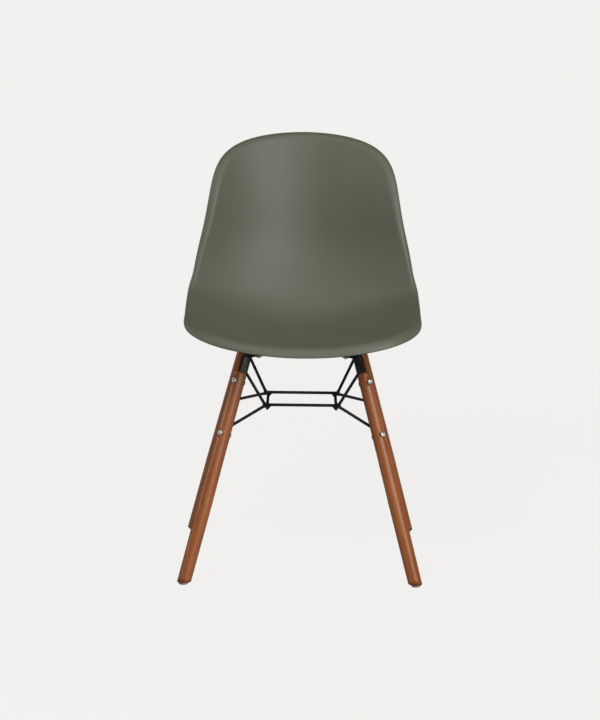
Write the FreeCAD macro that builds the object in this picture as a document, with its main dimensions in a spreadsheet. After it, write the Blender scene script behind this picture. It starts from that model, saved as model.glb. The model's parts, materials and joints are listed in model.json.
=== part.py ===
import FreeCAD, Part
import math
import os
import Sketcher

# Shell chair: one moulded seat shell on four leaning round legs, held by bent
# flat bars and a welded rod frame. Millimetres, +Z up, the sitter faces -Y.
# The origin is on the floor under the middle of the chair's outer box.

doc = FreeCAD.newDocument("shell_chair")
sizes = doc.addObject("Spreadsheet::Sheet", "sizes")

drivingSizes = [
    # side profile of the seat shell: run lengths and headings above level
    ("lipForward", 209.5, "front crest ahead of the leg frame's middle"),
    ("crestHeight", 462.95, "sitting surface at the front crest"),
    ("seatFrontRun", 137.3, "crest to mid seat"),
    ("seatRearRun", 130.1, "mid seat to the start of the hip curve"),
    ("hipRun", 156.6, "hip curve"),
    ("lumbarRun", 134.2, "lower back"),
    ("backRun", 162.7, "upper back to the top bend"),
    ("crestHeading", -7.54, "degrees"),
    ("midHeading", -2.67, "degrees"),
    ("rearHeading", 7.0, "degrees"),
    ("hipHeading", 62.0, "degrees"),
    ("lumbarHeading", 78.5, "degrees"),
    ("topHeading", 72.2, "degrees"),
    # steering values of the half width and of the side rise, at equal stations
    ("halfWidthCrest", 236.1, ""),
    ("halfWidthThigh", 226.8, ""),
    ("halfWidthSeat", 221.7, ""),
    ("halfWidthHip", 223.2, ""),
    ("halfWidthLoin", 197.9, ""),
    ("halfWidthBack", 168.7, ""),
    ("halfWidthTop", 179.3, ""),
    ("sideRiseCrest", 44.5, ""),
    ("sideRiseThigh", 51.0, ""),
    ("sideRiseSeat", 61.3, ""),
    ("sideRiseHip", 71.9, ""),
    ("sideRiseLoin", 75.0, ""),
    ("sideRiseBack", 68.5, ""),
    ("sideRiseTop", 51.4, ""),
    ("dishPower", 2.06, "how late the section curls up"),
    # squareness of the outline, counted across and along
    ("acrossPowerFront", 4.67, ""),
    ("alongPowerFront", 4.34, ""),
    ("acrossPowerTop", 1.97, ""),
    ("alongPowerTop", 8.03, ""),
    ("shellWall", 4.5, ""),
    # rolled rim
    ("rollRadiusFront", 20.3, ""),
    ("rollRadiusSide", 7.1, ""),
    ("rollRadiusTop", 17.6, ""),
    ("rollTurnFront", 82.5, "degrees"),
    ("rollTurnSide", 80.6, "degrees"),
    ("rollTurnTop", 56.7, "degrees"),
    ("lipFlatFront", 2.4, ""),
    ("lipFlatSide", 3.9, ""),
    ("lipFlatTop", 5.3, ""),
    # seat fixing
    ("screwSpread", 85.0, "seat screw from the frame's middle, across and fore"),
    ("tabDrop", 33.45, "top face of the bars' seat tabs below the crest"),
    ("padThick", 4.0, ""),
    ("padDia", 26.0, ""),
    ("bossDia", 22.0, ""),
    ("insertDia", 9.0, ""),
    ("insertDepth", 12.0, ""),
    ("screwDia", 6.0, ""),
    ("screwHeadDia", 11.0, ""),
    ("screwHeadDepth", 3.3, ""),
    ("screwBite", 9.0, "thread length inside the insert"),
    ("screwPlay", 0.4, "hole over thread"),
    ("washerDia", 16.0, ""),
    ("washerThick", 1.2, ""),
    # legs
    ("footSpread", 224.5, "foot from the frame's middle, across and fore"),
    ("legLean", 20.36, "degrees from upright, on the diagonal"),
    ("woodDrop", 29.8, "wood's top below the seat tabs' top"),
    ("legTopDia", 25.0, ""),
    ("legMidDia", 27.7, ""),
    ("legMidHeight", 170.0, "fullest point, up the leg"),
    ("legFootDia", 26.5, ""),
    ("legTopRound", 5.0, ""),
    ("legFootBevel", 1.5, ""),
    ("flatOffset", 7.0, "milled flat from the leg's axis"),
    ("spotDia", 13.5, ""),
    ("spotSeat", 10.6, "bolt head seat from the leg's axis"),
    ("glideDia", 18.0, ""),
    ("glideThick", 4.0, ""),
    ("glideBevel", 1.0, ""),
    ("nailDia", 2.4, ""),
    ("nailHeadDia", 6.5, ""),
    ("nailHeadThick", 1.4, ""),
    ("nailSink", 1.0, "nail head above the floor"),
    ("nailLength", 20.0, ""),
    # bars and leg bolts
    ("barWidth", 16.0, ""),
    ("barThick", 4.0, ""),
    ("barBend", 6.0, "inside radius"),
    ("barTail", 159.0, "bar end below the wood's top"),
    ("barEndRound", 5.0, ""),
    ("tabEnd", 11.0, "tab end past the seat screw"),
    ("boltTop", 20.0, "upper bolt below the wood's top"),
    ("boltSpacing", 106.0, ""),
    ("boltDia", 6.0, ""),
    ("boltHeadDia", 12.0, ""),
    ("boltHeadDepth", 3.6, ""),
    ("boltTip", 1.2, "thread past the nut"),
    ("hexKey", 4.0, "socket across flats"),
    ("hexDeep", 2.0, ""),
    ("nutAcross", 10.0, ""),
    ("nutThick", 5.0, ""),
    # rod frame
    ("ringHalf", 68.0, "ring corner from the middle, across and fore"),
    ("ringDrop", 105.0, "cross bars below the seat tabs' top"),
    ("ringRodPast", 4.5, "cross bar end past the side bar"),
    ("ringRodDia", 6.0, ""),
    ("braceDia", 6.0, ""),
    ("braceOut", 4.5, "brace joint past the side bar, along the cross bar"),
    ("lowerJointDrop", 2.0, "lower brace joint below the cross bar's axis"),
    ("upperBraceRise", 5.0, "upper brace joint above the wood's top"),
    ("lowerBraceDrop", 110.0, "lower brace joint below the wood's top"),
    ("gussetThick", 3.0, ""),
    ("gussetOut", 6.0, "gusset past the side bar, outward"),
    ("gussetIn", 10.0, "gusset past the side bar, inward"),
    ("gussetDeep", 10.0, ""),
    # where the leg frame's middle sits
    ("frameForward", 25.5, "leg frame's middle ahead of the origin"),
]
derivedSizes = [
    ("tabTop", "=crestHeight - tabDrop", "top face of the bars' seat tabs"),
    ("legLength", "=(tabTop - woodDrop) / cos(legLean)", "floor to the wood's top, along the leg"),
    ("crossBarHeight", "=tabTop - ringDrop", ""),
]
for row, (alias, amount, note) in enumerate(drivingSizes + derivedSizes, start=1):
    sizes.set("A%d" % row, alias)
    sizes.set("B%d" % row, str(amount))
    sizes.set("C%d" % row, note)
    sizes.setAlias("B%d" % row, alias)
doc.recompute()


def size(text):
    """Value of a sheet alias or of an expression in them."""
    return float(sizes.evalExpression(bind(text)))


aliases = {entry[0] for entry in drivingSizes + derivedSizes}


def bind(text):
    """Write the aliases in an expression as cells of the sheet."""
    out = ""
    word = ""
    for mark in text + " ":
        if mark.isalnum():
            word += mark
            continue
        out += "sizes." + word if word in aliases else word
        out += mark
        word = ""
    return out.strip()


def vec(x, y, z):
    return FreeCAD.Vector(x, y, z)


# Shared geometry of a leg

lean = math.radians(size("legLean"))
footRadius = size("footSpread") * math.sqrt(2)
corners = {
    "front_right": -45.0,
    "rear_right": 45.0,
    "rear_left": 135.0,
    "front_left": 225.0,
}
frameSpot = FreeCAD.Placement(vec(0, -size("frameForward"), 0), FreeCAD.Rotation())


def diagonal(name):
    """Upright frame whose +X runs from the middle out over one leg."""
    turn = FreeCAD.Rotation(vec(0, 0, 1), corners[name])
    return frameSpot.multiply(FreeCAD.Placement(vec(0, 0, 0), turn))


def legFrame(name):
    """Frame on the floor under one leg, +Z up the leg, +X outward."""
    tip = FreeCAD.Rotation(vec(0, 1, 0), -size("legLean"))
    stand = FreeCAD.Placement(vec(footRadius, 0, 0), tip)
    return diagonal(name).multiply(stand)


def fromLeg(x, z):
    """Point of the leg frame as radius and height in the diagonal plane."""
    return vec(
        footRadius + x * math.cos(lean) - z * math.sin(lean),
        0,
        x * math.sin(lean) + z * math.cos(lean),
    )


# Drawing helpers


def originPlane(body, role):
    for feature in body.Origin.OriginFeatures:
        if feature.Role == role:
            return feature
    raise RuntimeError("no origin plane " + role)


def newSketch(body, name, role, lift=None):
    sketch = body.newObject("Sketcher::SketchObject", name)
    sketch.AttachmentSupport = [(originPlane(body, role), "")]
    sketch.MapMode = "FlatFace"
    if lift:
        sketch.setExpression("AttachmentOffset.Base.z", bind(lift))
    return sketch


def pinPoint(sketch, geometry, end, x, y):
    """Hold a point at sheet-driven coordinates from the sketch's origin."""
    for kind, text, axis in (("DistanceX", x, -2), ("DistanceY", y, -1)):
        amount = size(text)
        if abs(amount) < 1e-7:
            sketch.addConstraint(
                Sketcher.Constraint("PointOnObject", geometry, end, axis))
        elif amount > 0:
            spot = sketch.addConstraint(
                Sketcher.Constraint(kind, -1, 1, geometry, end, amount))
            sketch.setExpression("Constraints[%d]" % spot, bind(text))
        else:
            spot = sketch.addConstraint(
                Sketcher.Constraint(kind, geometry, end, -1, 1, -amount))
            sketch.setExpression("Constraints[%d]" % spot, bind("-(%s)" % text))


def polygon(sketch, points):
    """Closed polygon through points given as pairs of expressions."""
    spots = [vec(size(x), size(y), 0) for x, y in points]
    first = sketch.GeometryCount
    count = len(points)
    for i in range(count):
        sketch.addGeometry(Part.LineSegment(spots[i], spots[(i + 1) % count]))
    for i in range(count):
        sketch.addConstraint(Sketcher.Constraint(
            "Coincident", first + i, 2, first + (i + 1) % count, 1))
    for i, (x, y) in enumerate(points):
        pinPoint(sketch, first + i, 1, x, y)


def circle(sketch, x, y, diameter):
    where = vec(size(x), size(y), 0)
    ring = sketch.addGeometry(Part.Circle(where, vec(0, 0, 1), size(diameter) / 2))
    pinPoint(sketch, ring, 3, x, y)
    spot = sketch.addConstraint(Sketcher.Constraint("Diameter", ring, size(diameter)))
    sketch.setExpression("Constraints[%d]" % spot, bind(diameter))


def newBody(name):
    return doc.addObject("PartDesign::Body", name)


def pad(body, sketch, length, name="Pad"):
    feature = body.newObject("PartDesign::Pad", name)
    feature.Profile = sketch
    feature.Midplane = True
    feature.setExpression("Length", bind(length))
    doc.recompute()
    return feature


def cutThrough(body, sketch, name="Pocket"):
    """Cut right through both ways and make sure that material went."""
    before = body.Shape.Volume
    feature = body.newObject("PartDesign::Pocket", name)
    feature.Profile = sketch
    feature.Type = "ThroughAll"
    feature.Midplane = True
    doc.recompute()
    if not body.Shape.Volume < before - 1e-6:
        raise RuntimeError(body.Name + ": " + name + " cuts nothing")
    return feature


def cutUpward(body, sketch, depth, name="Recess"):
    """Cut from the sketch toward its normal."""
    before = body.Shape.Volume
    feature = body.newObject("PartDesign::Pocket", name)
    feature.Profile = sketch
    feature.Reversed = True
    feature.setExpression("Length", bind(depth))
    doc.recompute()
    if not body.Shape.Volume < before - 1e-6:
        raise RuntimeError(body.Name + ": " + name + " cuts nothing")
    return feature


def turned(body, points, name="Revolution"):
    """Revolve a half profile, radius and height, about the body's Z axis."""
    sketch = newSketch(body, "Profile", "XZ_Plane")
    polygon(sketch, points)
    feature = body.newObject("PartDesign::Revolution", name)
    feature.Profile = sketch
    feature.ReferenceAxis = (sketch, ["V_Axis"])
    feature.Angle = 360
    doc.recompute()
    return feature


def pickEdges(base, picks):
    names = []
    for i, edge in enumerate(base.Shape.Edges, start=1):
        if picks(edge):
            names.append("Edge%d" % i)
    if not names:
        raise RuntimeError(base.Name + ": no such edge")
    return names


def roundEdges(body, base, radius, picks, name="Fillet"):
    feature = body.newObject("PartDesign::Fillet", name)
    feature.Base = (base, pickEdges(base, picks))
    feature.setExpression("Radius", bind(radius))
    doc.recompute()
    return feature


def bevelEdges(body, base, width, picks, name="Chamfer"):
    feature = body.newObject("PartDesign::Chamfer", name)
    feature.Base = (base, pickEdges(base, picks))
    feature.setExpression("Size", bind(width))
    doc.recompute()
    return feature


parts = []


def keep(obj, label, placement=None):
    obj.Label = label
    if placement is not None:
        obj.Placement = placement
    parts.append(obj)
    return obj


def group(label, shapes):
    """Several like pieces as separate solids of one sub-part."""
    obj = doc.addObject("Part::Feature", label)
    obj.Shape = Part.makeCompound(shapes)
    return keep(obj, label)


# Legs

cosLean = "cos(legLean)"
sinLean = "sin(legLean)"
tanLean = "tan(legLean)"
legReach = "(legMidDia * 2)"
boltHeights = ("legLength - boltTop", "legLength - boltTop - boltSpacing")


def makeLeg(label):
    body = newBody("Body_" + label)
    below = "-legFootDia"
    turn = turned(body, [
        ("0", below),
        ("legFootDia / 2", below),
        ("legFootDia / 2", "0"),
        ("legMidDia / 2", "legMidHeight"),
        ("legTopDia / 2", "legLength"),
        ("0", "legLength"),
    ])
    last = roundEdges(
        body, turn, "legTopRound",
        lambda e: e.BoundBox.ZMin > size("legLength") - 0.01 and e.BoundBox.XLength > 1,
        "TopRound")

    # foot cut level with the floor, on top of the glide
    foot = newSketch(body, "FootCut", "XZ_Plane")
    level = "(glideThick - (%s) * " + sinLean + ") / " + cosLean
    polygon(foot, [
        (legReach, level % legReach),
        ("-" + legReach, level % ("-" + legReach)),
        ("-" + legReach, "-3 * " + legReach),
        (legReach, "-3 * " + legReach),
    ])
    last = cutThrough(body, foot, "FootLevel")
    floorCut = size("glideThick / " + cosLean)
    last = bevelEdges(
        body, last, "legFootBevel",
        lambda e: e.BoundBox.ZMax < floorCut + size("legFootDia")
        and min(e.BoundBox.XLength, e.BoundBox.YLength) > size("legFootDia / 5"),
        "FootBevel")

    # milled flat that the bar beds on
    flat = newSketch(body, "FlatCut", "XZ_Plane")
    polygon(flat, [
        ("-flatOffset", "legLength - barTail"),
        ("-flatOffset", "legLength + legTopDia"),
        ("-" + legReach, "legLength + legTopDia"),
        ("-" + legReach, "legLength - barTail"),
    ])
    cutThrough(body, flat, "Flat")

    # bolt holes and the spot faces of their heads
    holes = newSketch(body, "BoltHoles", "YZ_Plane")
    for height in boltHeights:
        circle(holes, "0", height, "boltDia + screwPlay")
    cutThrough(body, holes, "Holes")
    spots = newSketch(body, "SpotFaces", "YZ_Plane", "spotSeat")
    for height in boltHeights:
        circle(spots, "0", height, "spotDia")
    cutUpward(body, spots, "legTopDia", "Spots")
    return body


def makeNailHole(label):
    """Upright hole for the glide's nail, in the leg's own frame."""
    hole = doc.addObject("Part::Cylinder", "NailHole_" + label)
    hole.setExpression("Radius", bind("nailDia / 2"))
    hole.setExpression("Height", bind("nailSink + nailLength"))
    return hole


for corner in corners:
    label = "leg_" + corner
    wood = makeLeg(label)
    wood.Placement = legFrame(corner)
    hole = makeNailHole(label)
    hole.Placement = diagonal(corner).multiply(
        FreeCAD.Placement(vec(footRadius, 0, 0), FreeCAD.Rotation()))
    drilled = doc.addObject("Part::Cut", "Drilled_" + label)
    drilled.Base = wood
    drilled.Tool = hole
    doc.recompute()
    keep(drilled, label)

# Glides and their nails


def makeGlide(label):
    body = newBody("Body_" + label)
    turn = turned(body, [
        ("nailDia / 2", "nailSink + nailHeadThick"),
        ("nailHeadDia / 2", "nailSink + nailHeadThick"),
        ("nailHeadDia / 2", "0"),
        ("glideDia / 2", "0"),
        ("glideDia / 2", "glideThick"),
        ("nailDia / 2", "glideThick"),
    ])
    bevelEdges(
        body, turn, "glideBevel",
        lambda e: e.BoundBox.ZMax < 0.01 and e.BoundBox.XLength > size("glideDia") - 0.1,
        "RimBevel")
    return body


def makeNail(label):
    body = newBody("Body_" + label)
    turned(body, [
        ("0", "nailSink"),
        ("nailHeadDia / 2", "nailSink"),
        ("nailHeadDia / 2", "nailSink + nailHeadThick"),
        ("nailDia / 2", "nailSink + nailHeadThick"),
        ("nailDia / 2", "nailSink + nailLength"),
        ("0", "nailSink + nailLength"),
    ])
    return body


footFrames = {}
for corner in corners:
    footFrames[corner] = diagonal(corner).multiply(
        FreeCAD.Placement(vec(footRadius, 0, 0), FreeCAD.Rotation()))
    glide = makeGlide("glide_" + corner)
    keep(glide, "glide_" + corner, footFrames[corner])
nail = makeNail("glide_nail")
group("glide_nails", [nail.Shape.transformed(footFrames[c].toMatrix()) for c in corners])

# Bent bars

screwRadius = "(screwSpread * sqrt(2))"
footOut = "(footSpread * sqrt(2))"


def legX(radius, height):
    return "((%s) - %s) * %s + (%s) * %s" % (radius, footOut, cosLean, height, sinLean)


def legZ(radius, height):
    return "(%s - (%s)) * %s + (%s) * %s" % (footOut, radius, sinLean, height, cosLean)


def makeBar(label):
    """Flat bar along the leg, bent over level under the seat."""
    body = newBody("Body_" + label)
    side = newSketch(body, "SideProfile", "XZ_Plane")
    outerX = "-flatOffset"
    innerX = "-(flatOffset + barThick)"
    tail = "legLength - barTail"
    tabInner = screwRadius + " - tabEnd"
    underTab = "tabTop - barThick"
    polygon(side, [
        (outerX, tail),
        (outerX, "(tabTop + flatOffset * %s) / %s" % (sinLean, cosLean)),
        (legX(tabInner, "tabTop"), legZ(tabInner, "tabTop")),
        (legX(tabInner, underTab), legZ(tabInner, underTab)),
        (innerX, "(%s + (flatOffset + barThick) * %s) / %s" % (underTab, sinLean, cosLean)),
        (innerX, tail),
    ])
    last = pad(body, side, "barWidth")
    half = size("barWidth") / 2

    def across(edge):
        return edge.BoundBox.YLength > 2 * half - 0.01

    outside = vec(-size("flatOffset"), 0,
                  size("(tabTop + flatOffset * %s) / %s" % (sinLean, cosLean)))
    inside = vec(-size("flatOffset + barThick"), 0,
                 size("(%s + (flatOffset + barThick) * %s) / %s" % (underTab, sinLean, cosLean)))
    last = roundEdges(
        body, last, "barBend",
        lambda e: across(e) and (e.CenterOfMass - inside).Length < 0.01, "InnerBend")
    last = roundEdges(
        body, last, "barBend + barThick",
        lambda e: across(e) and (e.CenterOfMass - outside).Length < 0.01, "OuterBend")
    thick = size("barThick")
    last = roundEdges(
        body, last, "barEndRound",
        lambda e: abs(e.Length - thick) < 0.01 and abs(abs(e.CenterOfMass.y) - half) < 0.01,
        "EndRounds")

    holes = newSketch(body, "BoltHoles", "YZ_Plane")
    for height in boltHeights:
        circle(holes, "0", height, "boltDia + screwPlay")
    cutThrough(body, holes, "Holes")
    return body


def makeScrewHole(label):
    hole = doc.addObject("Part::Cylinder", "ScrewHole_" + label)
    hole.setExpression("Radius", bind("(screwDia + screwPlay) / 2"))
    hole.setExpression("Height", bind("3 * barThick"))
    return hole


screwFrames = {}
bars = {}
for corner in corners:
    label = "bracket_" + corner
    bar = makeBar(label)
    bar.Placement = legFrame(corner)
    screwFrames[corner] = diagonal(corner).multiply(
        FreeCAD.Placement(vec(size(screwRadius), 0, 0), FreeCAD.Rotation()))
    hole = makeScrewHole(label)
    hole.Placement = screwFrames[corner].multiply(FreeCAD.Placement(
        vec(0, 0, size("tabTop - 2 * barThick")), FreeCAD.Rotation()))
    drilled = doc.addObject("Part::Cut", "Drilled_" + label)
    drilled.Base = bar
    drilled.Tool = hole
    doc.recompute()
    bars[corner] = keep(drilled, label)

# Leg bolts and nuts


def makeButtonScrew(name, headDia, headDepth, shankDia, shankLength):
    """Button head with a hex socket; the shank runs up +Z from the seat."""
    body = newBody(name)
    turn = turned(body, [
        ("0", "-" + headDepth),
        (headDia + " * 0.28", "-" + headDepth),
        (headDia + " * 0.44", "-" + headDepth + " * 0.6"),
        (headDia + " / 2", "-" + headDepth + " * 0.15"),
        (headDia + " / 2", "0"),
        (shankDia + " / 2", "0"),
        (shankDia + " / 2", shankLength),
        ("0", shankLength),
    ])
    socket = newSketch(body, "Socket", "XY_Plane", "-(" + headDepth + ")")
    reach = "hexKey / (2 * cos(30))"
    polygon(socket, [
        ("%s * %d / 2" % (reach, c), "hexKey * %s" % s)
        for c, s in ((2, "0"), (1, "0.5"), (-1, "0.5"), (-2, "0"), (-1, "-0.5"), (1, "-0.5"))
    ])
    cutUpward(body, socket, "hexDeep", "HexSocket")
    return body


legBolt = makeButtonScrew(
    "leg_bolt", "boltHeadDia", "boltHeadDepth", "boltDia",
    "(spotSeat + flatOffset + barThick + nutThick + boltTip)")
weldNut = newBody("weld_nut")
nutSketch = newSketch(weldNut, "Hexagon", "XY_Plane")
nutReach = "nutAcross / (2 * cos(30))"
polygon(nutSketch, [
    ("%s * %d / 2" % (nutReach, c), "nutAcross * %s" % s)
    for c, s in ((2, "0"), (1, "0.5"), (-1, "0.5"), (-2, "0"), (-1, "-0.5"), (1, "-0.5"))
])
circle(nutSketch, "0", "0", "boltDia")
nutPad = weldNut.newObject("PartDesign::Pad", "Pad")
nutPad.Profile = nutSketch
nutPad.setExpression("Length", bind("nutThick"))
doc.recompute()

boltShapes = []
nutShapes = []
inward = FreeCAD.Rotation(vec(0, 1, 0), -90)
for corner in corners:
    for height in boltHeights:
        seat = FreeCAD.Placement(vec(size("spotSeat"), 0, size(height)), inward)
        spot = legFrame(corner).multiply(seat)
        boltShapes.append(legBolt.Shape.transformed(spot.toMatrix()))
        seat = FreeCAD.Placement(
            vec(-size("flatOffset + barThick"), 0, size(height)), inward)
        spot = legFrame(corner).multiply(seat)
        nutShapes.append(weldNut.Shape.transformed(spot.toMatrix()))
group("leg_bolts", boltShapes)
group("weld_nuts", nutShapes)

# Welded rod frame


def rod(name, start, end, diameter):
    """Round rod between two points of the chair."""
    obj = doc.addObject("Part::Cylinder", name)
    obj.setExpression("Radius", bind(diameter + " / 2"))
    run = end - start
    obj.Height = run.Length
    turn = FreeCAD.Rotation(vec(0, 0, 1), run)
    obj.Placement = FreeCAD.Placement(start, turn)
    return obj


def cutBy(name, base, tools):
    """Base piece coped around the pieces that it is welded to."""
    joined = tools[0]
    if len(tools) > 1:
        joined = doc.addObject("Part::MultiFuse", name + "_tools")
        joined.Shapes = tools
    obj = doc.addObject("Part::Cut", name)
    obj.Base = base
    obj.Tool = joined
    doc.recompute()
    return obj


def ringPoint(sideX, sideY, height):
    half = size("ringHalf")
    return frameSpot.multVec(vec(sideX * half, sideY * half, height))


crossHeight = size("crossBarHeight")
sideHeight = size("crossBarHeight - ringRodDia")
past = size("ringRodDia / 2 + ringRodPast")
faceIn = size("ringHalf - gussetThick / 2")

crossBars = {}
for name, sideY in (("front", -1), ("rear", 1)):
    start = ringPoint(-1, sideY, crossHeight) - vec(past, 0, 0)
    end = ringPoint(1, sideY, crossHeight) + vec(past, 0, 0)
    crossBars[sideY] = keep(
        rod("CrossBar_" + name, start, end, "ringRodDia"), "cross_bar_" + name,
        None)
    doc.recompute()
for name, sideX in (("left", -1), ("right", 1)):
    start = frameSpot.multVec(vec(sideX * size("ringHalf"), -faceIn, sideHeight))
    end = frameSpot.multVec(vec(sideX * size("ringHalf"), faceIn, sideHeight))
    keep(rod("SideBar_" + name, start, end, "ringRodDia"), "side_bar_" + name, None)
doc.recompute()


def makeGusset(label, sideX, sideY):
    """Small upright triangle under a ring corner, apex down."""
    body = newBody("Body_" + label)
    face = newSketch(body, "Triangle", "XZ_Plane")
    polygon(face, [
        ("gussetOut", "crossBarHeight"),
        ("-gussetIn", "crossBarHeight"),
        ("-ringRodDia / 4", "crossBarHeight - gussetDeep"),
        ("ringRodDia / 4", "crossBarHeight - gussetDeep"),
    ])
    pad(body, face, "gussetThick")
    spot = frameSpot.multVec(vec(sideX * size("ringHalf"), sideY * size("ringHalf"), 0))
    flip = FreeCAD.Rotation(vec(0, 0, 1), 0 if sideX > 0 else 180)
    body.Placement = FreeCAD.Placement(spot, flip)
    doc.recompute()
    return body


def pastBar(name, corner, height):
    """Block from the bar's inner face outward, where a brace must not come through."""
    block = doc.addObject("Part::Box", name)
    for side in ("Length", "Width", "Height"):
        block.setExpression(side, bind("4 * braceDia"))
    half = size("2 * braceDia")
    inner = vec(-size("flatOffset + barThick"), -half, size(height) - half)
    block.Placement = legFrame(corner).multiply(FreeCAD.Placement(inner, FreeCAD.Rotation()))
    return block


gussets = {}
for corner in corners:
    sideY = -1 if corner.startswith("front") else 1
    sideX = -1 if corner.endswith("left") else 1

    gusset = makeGusset("gusset_" + corner, sideX, sideY)
    gussets[corner] = keep(
        cutBy("Coped_gusset_" + corner, gusset, [crossBars[sideY]]), "gusset_" + corner)

    # both braces of a corner meet the cross bar's end; the lower one is coped round the upper
    reach = -size("flatOffset + barThick / 2")
    tools = [bars[corner], crossBars[sideY]]
    for level, drop, height in (
            ("upper", "0", "legLength + upperBraceRise"),
            ("lower", "lowerJointDrop", "legLength - lowerBraceDrop")):
        start = ringPoint(sideX, sideY, size("crossBarHeight - " + drop))
        start += vec(sideX * size("braceOut"), 0, 0)
        end = diagonal(corner).multVec(fromLeg(reach, size(height)))
        plain = rod("Rod_%s_%s" % (level, corner), start, end, "braceDia")
        stop = pastBar("Stop_%s_%s" % (level, corner), corner, height)
        brace = cutBy("Coped_%s_brace_%s" % (level, corner), plain, tools + [stop])
        keep(brace, "%s_brace_%s" % (level, corner))
        tools = tools + [brace, gussets[corner]]

# Seat shell

stations = ("Crest", "Thigh", "Seat", "Hip", "Loin", "Back", "Top")
halfWidths = [size("halfWidth" + s) for s in stations]
sideRises = [size("sideRise" + s) for s in stations]
runs = [size(name) for name in
        ("seatFrontRun", "seatRearRun", "hipRun", "lumbarRun", "backRun")]
headings = [math.radians(size(name)) for name in
            ("crestHeading", "midHeading", "rearHeading", "hipHeading",
             "lumbarHeading", "topHeading")]
outlinePowers = [(size(kind + "Front"), size(kind + "Top")) for kind in ("acrossPower", "alongPower")]
profileLength = sum(runs)
wall = size("shellWall")


def smoothStep(x):
    x = min(max(x, 0.0), 1.0)
    return x * x * (3 - 2 * x)


def headingAt(along):
    start = 0.0
    for i, run in enumerate(runs):
        if along <= start + run or i == len(runs) - 1:
            share = smoothStep((along - start) / run)
            return headings[i] + (headings[i + 1] - headings[i]) * share
        start += run


profileSteps = 720
stride = profileLength / profileSteps
lead = 40


def walkProfile():
    """Side profile in short strides, from ahead of the crest to past the top."""
    y = -size("lipForward + frameForward") - lead * stride * math.cos(headings[0])
    z = size("crestHeight") - lead * stride * math.sin(headings[0])
    track = []
    for step in range(-lead, profileSteps + lead + 1):
        turn = headingAt(step * stride)
        track.append((y, z, turn))
        turn = headingAt((step + 0.5) * stride)
        y += stride * math.cos(turn)
        z += stride * math.sin(turn)
    return track


track = walkProfile()


def onProfile(along):
    spot = min(max(along / stride + lead, 0.0), len(track) - 1.001)
    i = int(spot)
    share = spot - i
    return [a + (b - a) * share for a, b in zip(track[i], track[i + 1])]


def steered(values, share):
    """Smooth curve drawn towards values at equal stations, on them at both ends."""
    last = len(values) - 1
    i = min(max(int(share * last), 0), last - 1)
    t = share * last - i
    near = [2 * values[0] - values[1]] + values + [2 * values[-1] - values[-2]]
    pull = ((1 - t) ** 3, 4 - 6 * t ** 2 + 3 * t ** 3, 1 + 3 * t + 3 * t ** 2 - 3 * t ** 3, t ** 3)
    return sum(p * v for p, v in zip(pull, near[i:i + 4])) / 6


def dish(across, share):
    """Sitting surface; across -1 to 1 side to side, share 0 to 1 front to top."""
    y, z, turn = onProfile(share * profileLength)
    rise = steered(sideRises, share) * abs(across) ** size("dishPower")
    return vec(across * steered(halfWidths, share),
               y - rise * math.sin(turn), z + rise * math.cos(turn))


def dishNormal(across, share):
    step = 0.002
    sideways = dish(across + step, share) - dish(across - step, share)
    onward = dish(across, share + step) - dish(across, share - step)
    return sideways.cross(onward).normalize()


def outlineAt(angle):
    """Rounded outline of the dish, from the front middle round by the right."""
    c = math.sin(angle)
    s = -math.cos(angle)
    top = smoothStep((s + 0.6) / 1.2)
    across, along = [low + (high - low) * top for low, high in outlinePowers]
    reach = 1.0
    for turn in range(12):
        side = (reach * abs(c)) ** across
        end = (reach * abs(s)) ** along
        reach -= reach * (side + end - 1) / (across * side + along * end)
    return reach * c, reach * s


def rimSizes(angle):
    """Roll radius, roll turn and lip flat at an angle of the rim."""
    s = -math.cos(angle)
    front = smoothStep((-s - 0.45) / 0.4)
    top = smoothStep((s - 0.1) / 0.6)
    side = 1 - front - top
    return [front * size(kind + "Front") + side * size(kind + "Side") + top * size(kind + "Top")
            for kind in ("rollRadius", "rollTurn", "lipFlat")]


def spoke(side, share):
    """Points and normals from the middle field's edge out over the rolled rim."""
    angle = math.radians(90 * side + 45 * share)
    c, s = fieldEdge(side, share)
    a, b = outlineAt(angle)
    rows = []
    for step in dishSteps:
        across = c + (a - c) * step
        spot = (1 + s + (b - s) * step) / 2
        rows.append((dish(across, spot), dishNormal(across, spot)))
    edge, up = rows[-1]
    a2, b2 = outlineAt(angle + 0.01)
    a1, b1 = outlineAt(angle - 0.01)
    along = (dish(a2, (1 + b2) / 2) - dish(a1, (1 + b1) / 2)).normalize()
    out = along.cross(up).normalize()
    radius, turn, flat = rimSizes(angle)
    turn = math.radians(turn)
    for step in rollSteps:
        bend = turn * step
        rows.append((
            edge + out * (radius * math.sin(bend)) - up * (radius * (1 - math.cos(bend))),
            up * math.cos(bend) + out * math.sin(bend)))
    spot, facing = rows[-1]
    onward = out * math.cos(turn) - up * math.sin(turn)
    for step in (0.5, 1.0):
        rows.append((spot + onward * (flat * step), facing))
    return rows


def fieldEdge(side, share):
    """Point on the edge of the middle field; sides 0 front, 1 right, 2 top, 3 left."""
    half = fieldShare
    return ((half * share, -half), (half, half * share),
            (-half * share, half), (-half, -half * share))[side]


fieldShare = 0.5
sideSteps = 16
dishSteps = [0.0, 0.2, 0.4, 0.6, 0.75, 0.87, 0.95, 1.0]
rollSteps = [0.25, 0.5, 0.75, 1.0]


def polesThrough(points):
    """Poles of a smooth curve that passes through the points."""
    poles = list(points)
    for turn in range(5):
        fresh = list(poles)
        for i in range(2, len(poles) - 2):
            here = (poles[i - 1] + poles[i] * 4 + poles[i + 1]) * (1 / 6)
            fresh[i] = poles[i] + points[i] - here
        poles = fresh
    return poles


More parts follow.
